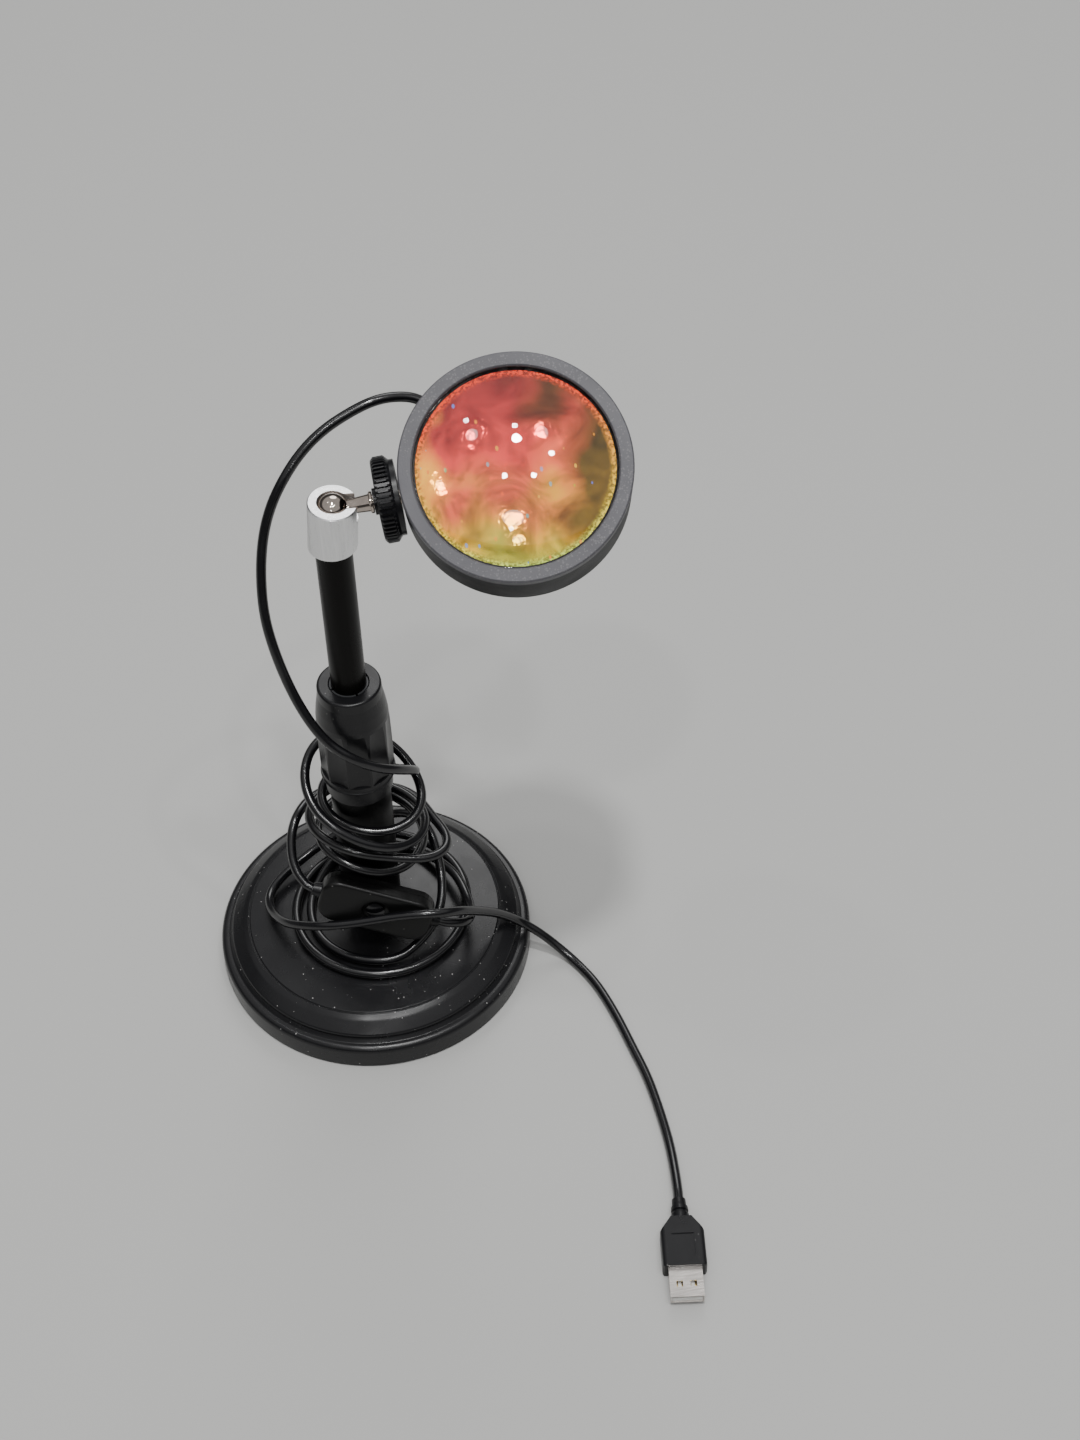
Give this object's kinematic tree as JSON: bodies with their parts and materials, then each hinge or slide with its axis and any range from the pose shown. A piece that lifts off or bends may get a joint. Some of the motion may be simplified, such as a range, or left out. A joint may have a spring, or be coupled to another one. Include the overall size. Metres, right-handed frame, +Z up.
{
  "type": "projection lamp",
  "caption": "Projection lamp: round weighted base, telescopic pole, ball joint and round head with a domed coloured lens, with a corded switch and plug.",
  "frame": {"origin": "centre of the base's underside, on the surface it stands on", "axes": "+Z up along the pole, +X the way the ball stud points in plan at rest, +Y away from the plug"},
  "size_m": [0.1625, 0.2402, 0.2684],
  "materials": {
    "satin_black_paint": "satin, with fine dust",
    "cast_weight": "rough, unpainted",
    "foot_foam": "matt fine foam",
    "plain_steel": "plain zinc-plated steel",
    "black_tube": "gloss black with a faint brown tint",
    "grip_plastic": "satin moulded",
    "dark_nylon": "satin moulded",
    "pale_nylon": "natural nylon",
    "turned_aluminium": "fine turned, matt side and bright top",
    "polished_nickel": "polished",
    "nut_plastic": "satin moulded, ribbed rim",
    "charcoal_paint": "fine texture, satin",
    "lens_glass": "clear, dichroic coating behind it",
    "filter_glass": "dichroic coating",
    "reflector_metal": "bright metallised",
    "board_white": "white lacquer",
    "phosphor": "yellow phosphor",
    "cast_aluminium": "as extruded",
    "cord_jacket": "glossy soft plastic",
    "moulded_black": "semi-gloss moulded",
    "switch_plastic": "satin moulded",
    "board_green": "green lacquer",
    "plated_shell": "bright tin plate",
    "tongue_plastic": "white moulded",
    "contact_gold": "gold flash"
  },
  "bodies": {
    "base": {"base_cover": "satin_black_paint", "base_weight": "cast_weight", "foot_pad": "foot_foam", "pole_bolt": "plain_steel", "bolt_washer": "plain_steel", "lower_tube": "satin_black_paint", "tube_plug": "plain_steel", "tube_collar": "grip_plastic", "collet": "dark_nylon", "cord_arc": "cord_jacket", "pole_coil": "cord_jacket", "switch_lead_in": "cord_jacket", "switch_front": "switch_plastic", "switch_back": "switch_plastic", "switch_board": "board_green", "switch_element": "plain_steel", "switch_screws": "plain_steel", "switch_reliefs": "moulded_black", "switch_lead_out": "cord_jacket", "base_coil": "cord_jacket", "cord_lead": "cord_jacket", "plug_relief": "moulded_black", "plug_body": "moulded_black", "plug_shell": "plated_shell", "plug_tongue": "tongue_plastic", "plug_contacts": "contact_gold"},
    "grip": {"twist_grip": "grip_plastic"},
    "pole": {"inner_tube": "black_tube", "guide_bush": "pale_nylon", "pan_pivot": "plain_steel"},
    "socket": {"ball_socket": "turned_aluminium", "ball_pad": "pale_nylon"},
    "stud": {"ball_stud": "polished_nickel", "stud_clip": "plain_steel"},
    "nut": {"lock_nut": "nut_plastic"},
    "head": {"head_barrel": "charcoal_paint", "side_bush": "plain_steel", "front_ring": "charcoal_paint", "lens": "lens_glass", "lens_seal": "foot_foam", "colour_filter": "filter_glass", "reflector": "reflector_metal", "led_board": "board_white", "led_chip": "phosphor", "heat_sink": "cast_aluminium", "rear_housing": "switch_plastic", "rear_screws": "plain_steel", "cord_gland": "moulded_black"},
    "button": {"switch_button": "switch_plastic"}
  },
  "joints": [
    {"name": "tube_slide", "type": "slide", "parent": "base", "child": "pole", "axis": [0, 0, 1], "range_m": [-0.046, 0.012], "deforming": ["cord_arc"]},
    {"name": "grip_turn", "type": "hinge", "parent": "base", "child": "grip", "pos_m": [0, 0, 0.1045], "axis": [0, 0, 1], "range_deg": [0, 120]},
    {"name": "socket_pan", "type": "hinge", "parent": "pole", "child": "socket", "pos_m": [0, 0, 0.217], "axis": [0, 0, 1], "range_deg": [-90, 90], "deforming": ["cord_arc"]},
    {"name": "ball_swing", "type": "hinge", "parent": "socket", "child": "stud", "pos_m": [0.00111, -0.00097, 0.2329], "axis": [0, -1, 0], "range_deg": [-12, 80], "deforming": ["cord_arc"]},
    {"name": "head_roll", "type": "hinge", "parent": "stud", "child": "head", "pos_m": [0.00111, -0.00097, 0.2329], "axis": [0.9947, 0, 0.1028], "range_deg": [-60, 60], "deforming": ["cord_arc"]},
    {"name": "nut_turn", "type": "hinge", "parent": "stud", "child": "nut", "pos_m": [0.00111, -0.00097, 0.2329], "axis": [0.9947, 0, 0.1028], "range_deg": [0, 270]},
    {"name": "button_press", "type": "slide", "parent": "base", "child": "button", "axis": [0.2034, 0.9568, -0.2079], "range_m": [0, 0.0012], "stiffness_N_per_m": 400}
  ]
}
